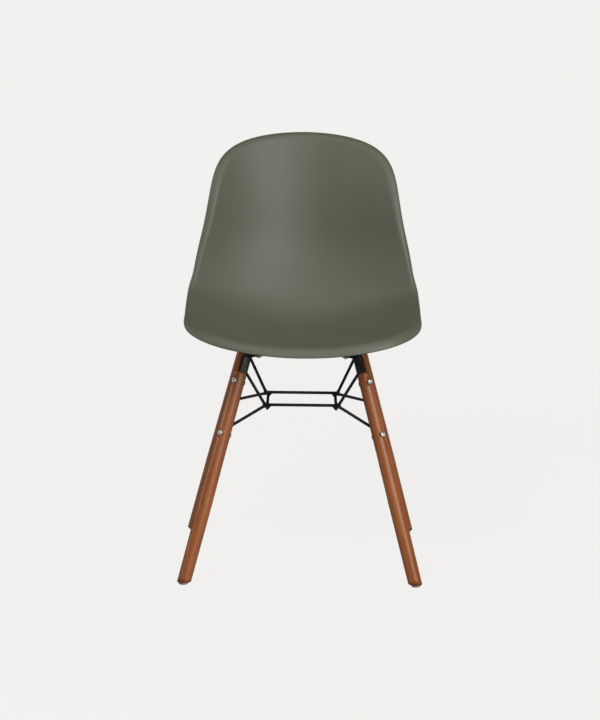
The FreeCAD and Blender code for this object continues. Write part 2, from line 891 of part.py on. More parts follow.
def smoothPatch(grid):
    rows = [polesThrough(row) for row in grid]
    columns = [polesThrough(column) for column in zip(*rows)]
    poles = [list(row) for row in zip(*columns)]
    knots = [[float(k) for k in range(n - 2)] for n in (len(poles), len(poles[0]))]
    repeats = [[4] + [1] * (len(k) - 2) + [4] for k in knots]
    surface = Part.BSplineSurface()
    surface.buildFromPolesMultsKnots(
        poles, repeats[0], repeats[1], knots[0], knots[1], False, False, 3, 3)
    return surface.toShape()


def openEdge(face, points):
    """The edge of a face that ends at both given points."""
    for edge in face.Edges:
        ends = [vertex.Point for vertex in edge.Vertexes]
        if all(min((end - point).Length for end in ends) < 0.001 for point in points):
            return edge
    raise RuntimeError("no such edge")


def makeSkin():
    """Closed moulding: sitting side, underside and the rim's edge between them."""
    faces = []
    shares = [-1 + 2 * j / sideSteps for j in range(sideSteps + 1)]
    field = [[(fieldShare * a, (1 + fieldShare * b) / 2) for b in shares] for a in shares]
    faces.append(smoothPatch([[dish(a, b) for a, b in row] for row in field]))
    faces.append(smoothPatch(
        [[dish(a, b) - dishNormal(a, b) * wall for a, b in row] for row in field]))
    for side in range(4):
        spokes = [spoke(side, share) for share in shares]
        upper = [[spot for spot, facing in rows] for rows in spokes]
        lower = [[spot - facing * wall for spot, facing in rows] for rows in spokes]
        pair = [smoothPatch(upper), smoothPatch(lower)]
        rims = [openEdge(face, (grid[0][-1], grid[-1][-1]))
                for face, grid in zip(pair, (upper, lower))]
        faces += pair
        faces.append(Part.makeRuledSurface(rims[0], rims[1]))
    skin = Part.Shell(faces)
    skin.sewShape()
    solid = Part.Solid(skin if skin.ShapeType == "Shell" else skin.Shells[0])
    if solid.Volume < 0:
        solid.reverse()
    return solid


def seatHeight(x, y, below):
    """Height of the seat over a floor point, a given depth under its surface."""
    share = 0.3
    for turn in range(30):
        across = x / steered(halfWidths, share)
        spot = dish(across, share) - dishNormal(across, share) * below
        share += (y - spot.y) / profileLength * 0.8
    return spot.z


def makeSeatBed():
    """Block above the middle of the seat's wall, to trim the bosses with."""
    reach = size("screwSpread + bossDia")
    ahead = size("frameForward")
    steps = 8
    grid = []
    for i in range(steps + 1):
        x = reach * (2 * i / steps - 1)
        grid.append([vec(x, y, seatHeight(x, y, wall / 2)) for y in
                     (reach * (2 * j / steps - 1) - ahead for j in range(steps + 1))])
    surface = Part.BSplineSurface()
    surface.interpolate(grid)
    return surface.toShape().extrude(vec(0, 0, size("crestHeight")))


skin = doc.addObject("Part::Feature", "Skin")
skin.Shape = makeSkin()
seatBed = doc.addObject("Part::Feature", "SeatBed")
seatBed.Shape = makeSeatBed()
bosses = []
bores = []
for corner in corners:
    boss = doc.addObject("Part::Cylinder", "Boss_" + corner)
    boss.setExpression("Radius", bind("bossDia / 2"))
    boss.setExpression("Height", bind("crestHeight / 2"))
    base = vec(0, 0, size("tabTop + padThick"))
    boss.Placement = screwFrames[corner].multiply(
        FreeCAD.Placement(base, FreeCAD.Rotation()))
    bosses.append(boss)
    bore = doc.addObject("Part::Cylinder", "Bore_" + corner)
    bore.setExpression("Radius", bind("insertDia / 2"))
    bore.setExpression("Height", bind("insertDepth"))
    bore.Placement = boss.Placement
    bores.append(bore)
bossBlock = doc.addObject("Part::MultiFuse", "BossBlock")
bossBlock.Shapes = bosses
trimmedBosses = doc.addObject("Part::Cut", "TrimmedBosses")
trimmedBosses.Base = bossBlock
trimmedBosses.Tool = seatBed
moulding = doc.addObject("Part::Fuse", "Moulding")
moulding.Base = skin
moulding.Tool = trimmedBosses
boreBlock = doc.addObject("Part::MultiFuse", "BoreBlock")
boreBlock.Shapes = bores
boredShell = doc.addObject("Part::Cut", "BoredShell")
boredShell.Base = moulding
boredShell.Tool = boreBlock
doc.recompute()
keep(boredShell, "seat_shell")

# Seat fixing


def makeTube(name, outer, inner, height):
    body = newBody(name)
    sketch = newSketch(body, "Rings", "XY_Plane")
    circle(sketch, "0", "0", outer)
    circle(sketch, "0", "0", inner)
    feature = body.newObject("PartDesign::Pad", "Pad")
    feature.Profile = sketch
    feature.setExpression("Length", bind(height))
    doc.recompute()
    return body


def atScrews(shape, height):
    """Copies of a shape at the four seat screws, at a height above the floor."""
    lift = FreeCAD.Placement(vec(0, 0, size(height)), FreeCAD.Rotation())
    return [shape.transformed(screwFrames[c].multiply(lift).toMatrix()) for c in corners]


insert = makeTube("seat_insert", "insertDia", "screwDia", "insertDepth")
seatPad = makeTube("seat_pad", "padDia", "screwDia + screwPlay", "padThick")
washer = makeTube("seat_washer", "washerDia", "screwDia + screwPlay", "washerThick")
seatScrew = makeButtonScrew(
    "seat_screw", "screwHeadDia", "screwHeadDepth", "screwDia",
    "(washerThick + barThick + padThick + screwBite)")
underTab = "tabTop - barThick"
group("shell_inserts", atScrews(insert.Shape, "tabTop + padThick"))
group("mount_pads", atScrews(seatPad.Shape, "tabTop"))
group("seat_washers", atScrews(washer.Shape, underTab + " - washerThick"))
group("seat_screws", atScrews(seatScrew.Shape, underTab + " - washerThick"))

# Check and write

doc.recompute()
for obj in doc.Objects:
    if "Invalid" in obj.State or "Error" in obj.State:
        raise RuntimeError(obj.Name + " did not build")
for obj in parts:
    if obj.Shape.isNull() or not obj.Shape.isValid() or not obj.Shape.Solids:
        raise RuntimeError(obj.Label + " has no sound solid")

os.makedirs("parts", exist_ok=True)
for obj in parts:
    obj.Shape.exportStep("parts/" + obj.Label + ".step")
    print(obj.Label, len(obj.Shape.Solids), round(obj.Shape.Volume / 1000, 2), "cm3")
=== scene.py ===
import bpy
import json
import math
from mathutils import Matrix, Vector

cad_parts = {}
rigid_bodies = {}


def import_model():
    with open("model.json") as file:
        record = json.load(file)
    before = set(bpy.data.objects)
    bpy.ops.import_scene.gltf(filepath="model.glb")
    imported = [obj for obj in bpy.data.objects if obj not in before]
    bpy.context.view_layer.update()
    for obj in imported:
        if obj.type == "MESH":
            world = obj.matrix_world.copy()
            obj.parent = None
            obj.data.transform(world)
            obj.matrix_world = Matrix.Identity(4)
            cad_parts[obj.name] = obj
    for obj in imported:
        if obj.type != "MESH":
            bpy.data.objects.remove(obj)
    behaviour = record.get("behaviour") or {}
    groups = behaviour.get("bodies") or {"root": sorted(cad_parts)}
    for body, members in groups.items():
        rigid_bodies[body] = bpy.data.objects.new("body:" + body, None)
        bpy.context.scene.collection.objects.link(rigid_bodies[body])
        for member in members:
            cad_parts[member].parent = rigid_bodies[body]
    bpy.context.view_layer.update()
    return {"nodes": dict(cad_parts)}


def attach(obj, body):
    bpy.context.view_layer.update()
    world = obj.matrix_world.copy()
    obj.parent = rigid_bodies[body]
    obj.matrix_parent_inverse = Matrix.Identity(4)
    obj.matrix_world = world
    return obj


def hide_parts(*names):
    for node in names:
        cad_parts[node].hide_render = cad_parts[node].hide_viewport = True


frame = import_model()
cadNodes = frame["nodes"]
corners = {"front_right": (1, -1), "rear_right": (1, 1),
           "rear_left": (-1, 1), "front_left": (-1, -1)}
legFrame = {
    "lean": math.radians(20.36),       # legs from upright
    "forward": 0.0255,                 # frame's middle ahead of the origin
}
bpy.ops.object.select_all(action='DESELECT')
print("frame loaded, nodes:", len(cadNodes))


# Small modelling helpers

def pickOnly(obj):
    bpy.ops.object.select_all(action='DESELECT')
    obj.select_set(True)
    bpy.context.view_layer.objects.active = obj


def editAll(obj, mode):
    pickOnly(obj)
    bpy.ops.object.mode_set(mode='EDIT')
    bpy.ops.mesh.select_mode(type=mode)
    bpy.ops.mesh.select_all(action='SELECT')


def backToObject():
    bpy.ops.object.mode_set(mode='OBJECT')


def applyAll(obj):
    pickOnly(obj)
    for modifier in list(obj.modifiers):
        bpy.ops.object.modifier_apply(modifier=modifier.name)


def settle(obj, name):
    pickOnly(obj)
    bpy.ops.object.transform_apply(location=True, rotation=True, scale=True)
    obj.name = name
    obj.data.name = name


# Shared shader groups

def newGroup(name, inputs, outputs):
    group = bpy.data.node_groups.new(name, 'ShaderNodeTree')
    for label, kind, value in inputs:
        socket = group.interface.new_socket(name=label, in_out='INPUT', socket_type=kind)
        if value is not None:
            socket.default_value = value
    for label, kind in outputs:
        group.interface.new_socket(name=label, in_out='OUTPUT', socket_type=kind)
    return group, group.nodes.new('NodeGroupInput'), group.nodes.new('NodeGroupOutput')


def addNode(tree, kind, settings=None, **values):
    node = tree.nodes.new(kind)
    for key, value in (settings or {}).items():
        setattr(node, key, value)
    for key, value in values.items():
        node.inputs[key.replace("_", " ")].default_value = value
    return node


def addRamp(tree, stops):
    ramp = tree.nodes.new('ShaderNodeValToRGB')
    elements = ramp.color_ramp.elements
    while len(elements) < len(stops):
        elements.new(0.5)
    for element, (spot, colour) in zip(elements, stops):
        element.position = spot
        element.color = (*colour, 1)
    return ramp


def makeGrainGroup():
    # fine pebble of a moulded or sprayed skin, with a broad patchiness
    group, inside, outside = newGroup(
        "skinGrain",
        [("Vector", 'NodeSocketVector', None), ("Pebble Scale", 'NodeSocketFloat', 1500.0),
         ("Patch Scale", 'NodeSocketFloat', 12.0)],
        [("Height", 'NodeSocketFloat'), ("Patch", 'NodeSocketFloat')])
    pebble = addNode(group, 'ShaderNodeTexNoise', Detail=3.0, Roughness=0.55)
    patch = addNode(group, 'ShaderNodeTexNoise', Detail=4.0, Roughness=0.6)
    group.links.new(inside.outputs["Vector"], pebble.inputs["Vector"])
    group.links.new(inside.outputs["Vector"], patch.inputs["Vector"])
    group.links.new(inside.outputs["Pebble Scale"], pebble.inputs["Scale"])
    group.links.new(inside.outputs["Patch Scale"], patch.inputs["Scale"])
    group.links.new(pebble.outputs["Fac"], outside.inputs["Height"])
    group.links.new(patch.outputs["Fac"], outside.inputs["Patch"])
    return group


def makeWoodGroup():
    # straight-grained stained wood, grain along Z of the vector
    group, inside, outside = newGroup(
        "stainedGrain",
        [("Vector", 'NodeSocketVector', None)],
        [("Tone", 'NodeSocketFloat'), ("Fleck", 'NodeSocketFloat'), ("Height", 'NodeSocketFloat')])

    def stretched(across, along):
        mapping = addNode(group, 'ShaderNodeMapping', Scale=(across, across, along))
        group.links.new(inside.outputs["Vector"], mapping.inputs["Vector"])
        return mapping

    def noise(across, along, detail, distortion=0.0):
        texture = addNode(group, 'ShaderNodeTexNoise', Scale=1.0, Detail=detail,
                          Roughness=0.6, Distortion=distortion)
        group.links.new(stretched(across, along).outputs[0], texture.inputs["Vector"])
        return texture

    fibres = noise(1400, 45, 3.0)         # under a millimetre across
    streaks = noise(170, 5, 4.0, 0.5)      # long soft streaks
    clouds = noise(34, 7, 3.0)             # uneven stain

    def blend(first, second, share):
        mix = addNode(group, 'ShaderNodeMix', {"data_type": 'FLOAT'})
        mix.inputs[0].default_value = share
        group.links.new(first, mix.inputs[2])
        group.links.new(second, mix.inputs[3])
        return mix.outputs[0]

    tone = blend(streaks.outputs["Fac"], clouds.outputs["Fac"], 0.42)
    tone = blend(tone, fibres.outputs["Fac"], 0.16)
    group.links.new(tone, outside.inputs["Tone"])

    dashes = noise(1300, 210, 1.0)         # short pores of the wood
    cut = addNode(group, 'ShaderNodeMapRange', From_Min=0.64, From_Max=0.74)
    group.links.new(dashes.outputs["Fac"], cut.inputs["Value"])
    group.links.new(cut.outputs[0], outside.inputs["Fleck"])
    height = addNode(group, 'ShaderNodeMath', {"operation": 'SUBTRACT'})
    group.links.new(fibres.outputs["Fac"], height.inputs[0])
    group.links.new(cut.outputs[0], height.inputs[1])
    group.links.new(height.outputs[0], outside.inputs["Height"])
    return group


skinGrain = makeGrainGroup()
stainedGrain = makeWoodGroup()


# Materials

def newMaterial(name, slot):
    material = bpy.data.materials.new(name)
    material.use_nodes = True
    tree = material.node_tree
    shader = tree.nodes["Principled BSDF"]
    place = tree.nodes.new('ShaderNodeTexCoord')
    material["slot"] = slot
    return material, tree, shader, place.outputs["Object"]


def placeGroup(tree, group, vector, **values):
    node = tree.nodes.new('ShaderNodeGroup')
    node.node_tree = group
    tree.links.new(vector, node.inputs["Vector"])
    for key, value in values.items():
        node.inputs[key.replace("_", " ")].default_value = value
    return node


def tintBetween(tree, shader, mask, first, second, low=0.35, high=0.65):
    ramp = addRamp(tree, [(low, first), (high, second)])
    tree.links.new(mask, ramp.inputs["Fac"])
    tree.links.new(ramp.outputs["Color"], shader.inputs["Base Color"])


def roughBetween(tree, shader, mask, low, high):
    spread = addNode(tree, 'ShaderNodeMapRange', To_Min=low, To_Max=high)
    tree.links.new(mask, spread.inputs["Value"])
    tree.links.new(spread.outputs[0], shader.inputs["Roughness"])


def bumpFrom(tree, shader, height, strength, distance):
    bump = addNode(tree, 'ShaderNodeBump', Strength=strength, Distance=distance)
    tree.links.new(height, bump.inputs["Height"])
    tree.links.new(bump.outputs["Normal"], shader.inputs["Normal"])


finishes = {
    "shellLight": (0.139, 0.145, 0.102),
    "shellDark": (0.131, 0.137, 0.096),
    "shellRough": (0.45, 0.51),
    "woodDark": (0.270, 0.066, 0.015),
    "woodMiddle": (0.430, 0.126, 0.032),
    "woodLight": (0.560, 0.192, 0.056),
    "woodStops": (0.34, 0.50, 0.68),       # grain tones of the three stains above
    "woodFleck": (0.62, 0.52, 0.45),       # darkens the stain in the pores
    "woodRough": (0.32, 0.42),
    "woodCoat": (0.35, 0.22),              # weight and roughness
    "steelBlack": (0.012, 0.012, 0.013),
    "steelWorn": (0.020, 0.020, 0.021),
    "zinc": (0.90, 0.89, 0.86),
    "zincDull": (0.80, 0.79, 0.76),
    "brass": (0.72, 0.50, 0.20),
    "brassDull": (0.62, 0.42, 0.16),
    "rubber": (0.030, 0.030, 0.031),
    "rubberWorn": (0.045, 0.045, 0.046),
    "glide": (0.72, 0.71, 0.69),
    "glidePale": (0.80, 0.79, 0.77),
}


def makeShellPlastic():
    material, tree, shader, place = newMaterial("moulded olive plastic", "shell_plastic")
    grain = placeGroup(tree, skinGrain, place, Pebble_Scale=1900.0, Patch_Scale=9.0)
    tintBetween(tree, shader, grain.outputs["Patch"],
                finishes["shellDark"], finishes["shellLight"])
    roughBetween(tree, shader, grain.outputs["Patch"], *finishes["shellRough"])
    bumpFrom(tree, shader, grain.outputs["Height"], 0.10, 0.00006)
    return material


def makeWood(corner):
    material, tree, shader, place = newMaterial(
        "stained wood " + corner.replace("_", " "), "stained_wood")
    sideX, sideY = corners[corner]
    sway = math.sin(legFrame["lean"]) / math.sqrt(2)
    axis = Vector((-sideX * sway, -sideY * sway, math.cos(legFrame["lean"])))
    turn = axis.rotation_difference(Vector((0, 0, 1))).to_euler()
    # the shift gives each leg its own stretch of grain
    upright = addNode(tree, 'ShaderNodeMapping', Rotation=turn,
                      Location=(0.4 * sideX + 0.03, 0.3 * sideY + 0.02, 0.7 * sideX * sideY))
    tree.links.new(place, upright.inputs["Vector"])
    grain = placeGroup(tree, stainedGrain, upright.outputs[0])
    stains = [finishes[tone] for tone in ("woodDark", "woodMiddle", "woodLight")]
    ramp = addRamp(tree, list(zip(finishes["woodStops"], stains)))
    tree.links.new(grain.outputs["Tone"], ramp.inputs["Fac"])
    darken = addNode(tree, 'ShaderNodeMix', {"data_type": 'RGBA', "blend_type": 'MULTIPLY'})
    darken.inputs[7].default_value = (*finishes["woodFleck"], 1)
    tree.links.new(grain.outputs["Fleck"], darken.inputs[0])
    tree.links.new(ramp.outputs["Color"], darken.inputs[6])
    tree.links.new(darken.outputs[2], shader.inputs["Base Color"])
    roughBetween(tree, shader, grain.outputs["Tone"], *finishes["woodRough"])
    bumpFrom(tree, shader, grain.outputs["Height"], 0.12, 0.00012)
    shader.inputs["Coat Weight"].default_value = finishes["woodCoat"][0]
    shader.inputs["Coat Roughness"].default_value = finishes["woodCoat"][1]
    return material


def makeBlackSteel():
    material, tree, shader, place = newMaterial("black powder coat", "black_steel")
    grain = placeGroup(tree, skinGrain, place, Pebble_Scale=1300.0, Patch_Scale=60.0)
    tintBetween(tree, shader, grain.outputs["Patch"],
                finishes["steelBlack"], finishes["steelWorn"])
    roughBetween(tree, shader, grain.outputs["Patch"], 0.36, 0.50)
    bumpFrom(tree, shader, grain.outputs["Height"], 0.25, 0.0001)
    return material


def makeMetal(name, slot, bright, dull, rough):
    material, tree, shader, place = newMaterial(name, slot)
    grain = placeGroup(tree, skinGrain, place, Pebble_Scale=900.0, Patch_Scale=160.0)
    tintBetween(tree, shader, grain.outputs["Patch"], dull, bright)
    roughBetween(tree, shader, grain.outputs["Patch"], rough, rough + 0.12)
    bumpFrom(tree, shader, grain.outputs["Height"], 0.10, 0.00004)
    shader.inputs["Metallic"].default_value = 1.0
    return material


def makeRubber():
    material, tree, shader, place = newMaterial("black rubber", "rubber_pad")
    grain = placeGroup(tree, skinGrain, place, Pebble_Scale=800.0, Patch_Scale=90.0)
    tintBetween(tree, shader, grain.outputs["Patch"], finishes["rubber"], finishes["rubberWorn"])
    roughBetween(tree, shader, grain.outputs["Patch"], 0.70, 0.85)
    bumpFrom(tree, shader, grain.outputs["Height"], 0.3, 0.0001)
    return material


def makeGlidePlastic():
    material, tree, shader, place = newMaterial("milky glide plastic", "glide_plastic")
    grain = placeGroup(tree, skinGrain, place, Pebble_Scale=700.0, Patch_Scale=120.0)
    tintBetween(tree, shader, grain.outputs["Patch"], finishes["glide"], finishes["glidePale"])
    roughBetween(tree, shader, grain.outputs["Patch"], 0.34, 0.46)
    bumpFrom(tree, shader, grain.outputs["Height"], 0.15, 0.0001)
    shader.inputs["Subsurface Weight"].default_value = 0.25
    shader.inputs["Subsurface Radius"].default_value = (0.004, 0.004, 0.004)
    return material


shellPlastic = makeShellPlastic()
blackSteel = makeBlackSteel()
zincPlate = makeMetal("zinc plate", "zinc_plated", finishes["zinc"], finishes["zincDull"], 0.48)
brassMetal = makeMetal("brass", "brass", finishes["brass"], finishes["brassDull"], 0.30)
blackRubber = makeRubber()
glidePlastic = makeGlidePlastic()
print("materials ready:", len(bpy.data.materials))


# Seat shell

shellSizes = {
    "lipForward": 0.2350,      # front crest ahead of the origin
    "crestHeight": 0.46295,
    "runs": (0.1373, 0.1301, 0.1566, 0.1342, 0.1627),    # side profile, crest to top
    "headings": (-7.54, -2.67, 7.0, 62.0, 78.5, 72.2),   # degrees above level
    # half width and side rise are drawn towards these at equal stations, crest to top
    "halfWidths": (0.2361, 0.2268, 0.2217, 0.2232, 0.1979, 0.1687, 0.1793),
    "sideRises": (0.0445, 0.0510, 0.0613, 0.0719, 0.0750, 0.0685, 0.0514),
    "dishPower": 2.06,
    "acrossPower": (4.67, 1.97),                         # front corners, top corners
    "alongPower": (4.34, 8.03),
    "rollRadius": (0.0203, 0.0071, 0.0176),              # front, sides, top
    "rollTurn": (82.5, 80.6, 56.7),
    "lipFlat": (0.0024, 0.0039, 0.0053),
    "wall": 0.0045,
    "edgeRound": 0.0013,
    "sharpFrom": 60,                                     # degrees; edges that get the round
    "smoothUnder": 38,                                   # degrees; edges shaded smooth
    "cellsAcross": 100,
    "cellsAlong": 150,
    "rollRings": 10,
}


def smoothStep(x):
    x = min(max(x, 0.0), 1.0)
    return x * x * (3 - 2 * x)


def headingAt(along):
    start = 0.0
    runs = shellSizes["runs"]
    headings = [math.radians(h) for h in shellSizes["headings"]]
    for i, run in enumerate(runs):
        if along <= start + run or i == len(runs) - 1:
            return headings[i] + (headings[i + 1] - headings[i]) * smoothStep((along - start) / run)
        start += run


profileLength = sum(shellSizes["runs"])
profileStep = 0.001
profileLead = 40


def walkProfile():
    first = math.radians(shellSizes["headings"][0])
    y = -shellSizes["lipForward"] - profileLead * profileStep * math.cos(first)
    z = shellSizes["crestHeight"] - profileLead * profileStep * math.sin(first)
    track = []
    for i in range(int(profileLength / profileStep) + 2 * profileLead):
        turn = headingAt((i - profileLead) * profileStep)
        track.append((y, z, turn))
        turn = headingAt((i - profileLead + 0.5) * profileStep)
        y += profileStep * math.cos(turn)
        z += profileStep * math.sin(turn)
    return track


profileTrack = walkProfile()


def onProfile(along):
    spot = min(max(along / profileStep + profileLead, 0.0), len(profileTrack) - 1.001)
    i = int(spot)
    return [a + (b - a) * (spot - i) for a, b in zip(profileTrack[i], profileTrack[i + 1])]


def steered(values, share):
    last = len(values) - 1
    i = min(max(int(share * last), 0), last - 1)
    t = share * last - i
    near = (2 * values[0] - values[1], *values, 2 * values[-1] - values[-2])
    pull = ((1 - t) ** 3, 4 - 6 * t ** 2 + 3 * t ** 3, 1 + 3 * t + 3 * t ** 2 - 3 * t ** 3, t ** 3)
    return sum(p * v for p, v in zip(pull, near[i:i + 4])) / 6


def dishPoint(across, share):
    # sitting surface, across -1 to 1 from side to side, share 0 to 1 from front to top
    y, z, turn = onProfile(share * profileLength)
    rise = steered(shellSizes["sideRises"], share) * abs(across) ** shellSizes["dishPower"]
    return Vector((across * steered(shellSizes["halfWidths"], share),
                   y - rise * math.sin(turn), z + rise * math.cos(turn)))


def dishNormal(across, share):
    step = 0.002
    sideways = dishPoint(across + step, share) - dishPoint(across - step, share)
    onward = dishPoint(across, share + step) - dishPoint(across, share - step)
    return sideways.cross(onward).normalized()


def outlineAt(angle):
    # rounded rectangle of the dish, angle 0 at the front, its powers blending toward the top
    c, s = math.sin(angle), -math.cos(angle)
    top = smoothStep((s + 0.6) / 1.2)
    across, along = [low + (high - low) * top
                     for low, high in (shellSizes["acrossPower"], shellSizes["alongPower"])]
    reach = 1.0
    for i in range(12):        # Newton's steps out to the outline
        side, end = (reach * abs(c)) ** across, (reach * abs(s)) ** along
        reach -= reach * (side + end - 1) / (across * side + along * end)
    return reach * c, reach * s


def rimFrame(angle):
    # place, outward direction and upward direction of the dish's edge
    a, b = outlineAt(angle)
    place, up = dishPoint(a, (1 + b) / 2), dishNormal(a, (1 + b) / 2)
    a2, b2 = outlineAt(angle + 0.01)
    a1, b1 = outlineAt(angle - 0.01)
    along = (dishPoint(a2, (1 + b2) / 2) - dishPoint(a1, (1 + b1) / 2)).normalized()
    return place, along.cross(up).normalized(), up


def rimSizes(angle):
    # roll radius, turn and lip blend from the front over the sides to the top
    s = -math.cos(angle)
    front = smoothStep((-s - 0.45) / 0.4)
    top = smoothStep((s - 0.1) / 0.6)
    shares = (front, 1 - front - top, top)
    return [sum(share * size for share, size in zip(shares, shellSizes[kind]))
            for kind in ("rollRadius", "rollTurn", "lipFlat")]


def rimPoint(angle, share, flat):
    place, out, up = rimFrame(angle)
    radius, turn, lip = rimSizes(angle)
    bend = math.radians(turn) * share
    place = place + out * (radius * math.sin(bend)) - up * (radius * (1 - math.cos(bend)))
    return place + (out * math.cos(bend) - up * math.sin(bend)) * (lip * flat)


def layDish(mesh):
    # the flat grid becomes the sitting surface; each rim point keeps its angle for the roll
    angles = mesh.attributes.new("rimAngle", 'FLOAT', 'POINT')
    for vertex in mesh.vertices:
        u, v = vertex.co.x, vertex.co.y
        m = max(abs(u), abs(v))
        angle = math.atan2(u, -v) if m > 1e-6 else 0.0
        c, s = outlineAt(angle)
        a = (1 - m) * u + m * m * c
        b = (1 - m) * v + m * m * s
        angles.data[vertex.index].value = angle
        vertex.co = dishPoint(a, (1 + b) / 2)


def rollRim(obj):
    editAll(obj, 'EDGE')
    bpy.ops.mesh.region_to_loop()
    steps = [(k / shellSizes["rollRings"], 0.0) for k in range(1, shellSizes["rollRings"] + 1)]
    for share, flat in steps + [(1.0, 1.0)]:
        bpy.ops.mesh.extrude_region_move()
        backToObject()
        angles = obj.data.attributes["rimAngle"].data
        for vertex in obj.data.vertices:
            if vertex.select:
                vertex.co = rimPoint(angles[vertex.index].value, share, flat)
        bpy.ops.object.mode_set(mode='EDIT')
    backToObject()


def makeShell():
    bpy.ops.mesh.primitive_grid_add(x_subdivisions=shellSizes["cellsAcross"],
                                    y_subdivisions=shellSizes["cellsAlong"], size=2)
    shell = bpy.context.object
    layDish(shell.data)
    rollRim(shell)
    shell.data.attributes.remove(shell.data.attributes["rimAngle"])
    wall = shell.modifiers.new("wall", 'SOLIDIFY')
    wall.thickness = shellSizes["wall"]
    wall.offset = -1
    wall.use_even_offset = True
    applyAll(shell)
    editAll(shell, 'EDGE')
    bpy.ops.mesh.select_all(action='DESELECT')
    bpy.ops.mesh.edges_select_sharp(sharpness=math.radians(shellSizes["sharpFrom"]))
    bpy.ops.mesh.bevel(offset=shellSizes["edgeRound"], segments=3, affect='EDGES')
    backToObject()
    return shell


bossSizes = {
    "spread": 0.085,           # screw from the frame's middle, across and fore
    "bottom": 0.4335,
    "blank": 0.004,            # height of the disc that the post is drawn up from
    "holeStart": 0.0035,       # the hole's depth in that disc
    "radius": 0.011,
    "holeRadius": 0.0045,
    "holeDepth": 0.012,
    # radius and height from the shell's underside of the rings of the moulded foot
    "flare": ((0.0110, -0.0045), (0.0113, -0.0024), (0.0122, -0.0010), (0.0136, -0.0003),
              (0.0150, 0.0006)),
}


def makeBoss(shell, sideX, sideY):
    middle = Vector((sideX * bossSizes["spread"],
                     sideY * bossSizes["spread"] - legFrame["forward"], 0))
    bottom, blank, holeStart = [bossSizes[kind] for kind in ("bottom", "blank", "holeStart")]
    bpy.ops.mesh.primitive_cylinder_add(vertices=48, radius=bossSizes["radius"], depth=blank,
                                        location=middle + Vector((0, 0, bottom + blank / 2)))
    boss = bpy.context.object
    settle(boss, "boss")
    editAll(boss, 'FACE')
    bpy.ops.mesh.select_all(action='DESELECT')
    backToObject()
    for face in boss.data.polygons:
        face.select = face.normal.z < -0.9
    bpy.ops.object.mode_set(mode='EDIT')
    bpy.ops.mesh.inset(thickness=bossSizes["radius"] - bossSizes["holeRadius"])
    bpy.ops.mesh.extrude_region_move(TRANSFORM_OT_translate={"value": (0, 0, holeStart)})
    bpy.ops.mesh.select_all(action='DESELECT')
    backToObject()
    for face in boss.data.polygons:
        face.select = face.normal.z > 0.9
    for radius, height in bossSizes["flare"]:
        bpy.ops.object.mode_set(mode='EDIT')
        if height > bossSizes["flare"][0][1]:
            bpy.ops.mesh.extrude_region_move()
        backToObject()
        for vertex in boss.data.vertices:
            if vertex.select:
                ray = (vertex.co - middle) * Vector((1, 1, 0))
                spot = middle + ray.normalized() * radius
                hit = shell.ray_cast((spot.x, spot.y, 0.3), (0, 0, 1))[1]
                vertex.co = (spot.x, spot.y, hit.z + height)
    # the hole's floor goes up to its depth inside the post
    for vertex in boss.data.vertices:
        if abs(vertex.co.z - bottom - holeStart) < 0.0001:
            vertex.co.z = bottom + bossSizes["holeDepth"]
    return boss


shell = makeShell()
bosses = [makeBoss(shell, sx, sy) for sx, sy in corners.values()]
pickOnly(shell)
for boss in bosses:
    boss.select_set(True)
bpy.ops.object.join()
settle(shell, "mouldedShell")
bpy.ops.object.shade_smooth_by_angle(angle=math.radians(shellSizes["smoothUnder"]))
shell.data.materials.clear()
shell.data.materials.append(shellPlastic)
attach(shell, "root")
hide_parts("seat_shell")
print("shell faces:", len(shell.data.polygons))


# CAD nodes shown through a merged, smooth copy

dressing = {
    "mergeWithin": 0.000002,
    "flatWithin": math.radians(0.5),       # edges flatter than this are dissolved
    "roundAbove": math.radians(50),        # edges sharper than this are rounded
    "bracketRound": 0.0006,
}


def dressNode(nodeName, pieceName, material, crease=32, edgeRound=0):
    source = cadNodes[nodeName]
    piece = bpy.data.objects.new(pieceName, source.data.copy())
    bpy.context.scene.collection.objects.link(piece)
    editAll(piece, 'VERT')
    bpy.ops.mesh.remove_doubles(threshold=dressing["mergeWithin"])
    if edgeRound:
        bpy.ops.mesh.dissolve_limited(angle_limit=dressing["flatWithin"])
    backToObject()
    if edgeRound:
        rounding = piece.modifiers.new("edgeRound", 'BEVEL')
        rounding.width = edgeRound
        rounding.segments = 2
        rounding.limit_method = 'ANGLE'
        rounding.angle_limit = dressing["roundAbove"]
        applyAll(piece)
    piece.data.materials.clear()
    piece.data.materials.append(material)
    bpy.ops.object.shade_smooth_by_angle(angle=math.radians(crease))
    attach(piece, "root")
    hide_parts(nodeName)
    return piece


for corner in corners:
    dressNode("leg_" + corner, "leg_" + corner + "_wood", makeWood(corner))
    dressNode("glide_" + corner, "glide_" + corner + "_disc", glidePlastic)
    dressNode("bracket_" + corner, "bracket_" + corner + "_black", blackSteel,
              edgeRound=dressing["bracketRound"])
    for kind in ("upper_brace_", "lower_brace_", "gusset_"):
        dressNode(kind + corner, kind + corner + "_black", blackSteel)
for bar in ("cross_bar_front", "cross_bar_rear", "side_bar_left", "side_bar_right"):
    dressNode(bar, bar + "_black", blackSteel)
for part in ("seat_screws", "seat_washers", "leg_bolts", "weld_nuts", "glide_nails"):
    dressNode(part, part + "_plated", zincPlate)
dressNode("shell_inserts", "shell_inserts_brass", brassMetal)
dressNode("mount_pads", "mount_pads_rubber", blackRubber)
print("CAD nodes dressed")


# Weld beads of the rod frame

frameSizes = {
    "ringHalf": 0.068,
    "braceOut": 0.0045,        # brace joint past the side bar
    "crossBarHeight": 0.3245,
    "lowerJointDrop": 0.002,
    "footRadius": 0.2245 * math.sqrt(2),
    "barMiddle": -0.009,       # middle of the bar's thickness from the leg's axis
    "barHalf": 0.002,
    "upperJoint": 0.4313,      # brace joints on the bar, up the leg
    "lowerJoint": 0.3163,
    "rodRadius": 0.003,
    "beadThick": 0.0011,
    "beadShift": 1.15,         # rod radii from the joint to the bead
    "beadUneven": 0.0003,
}


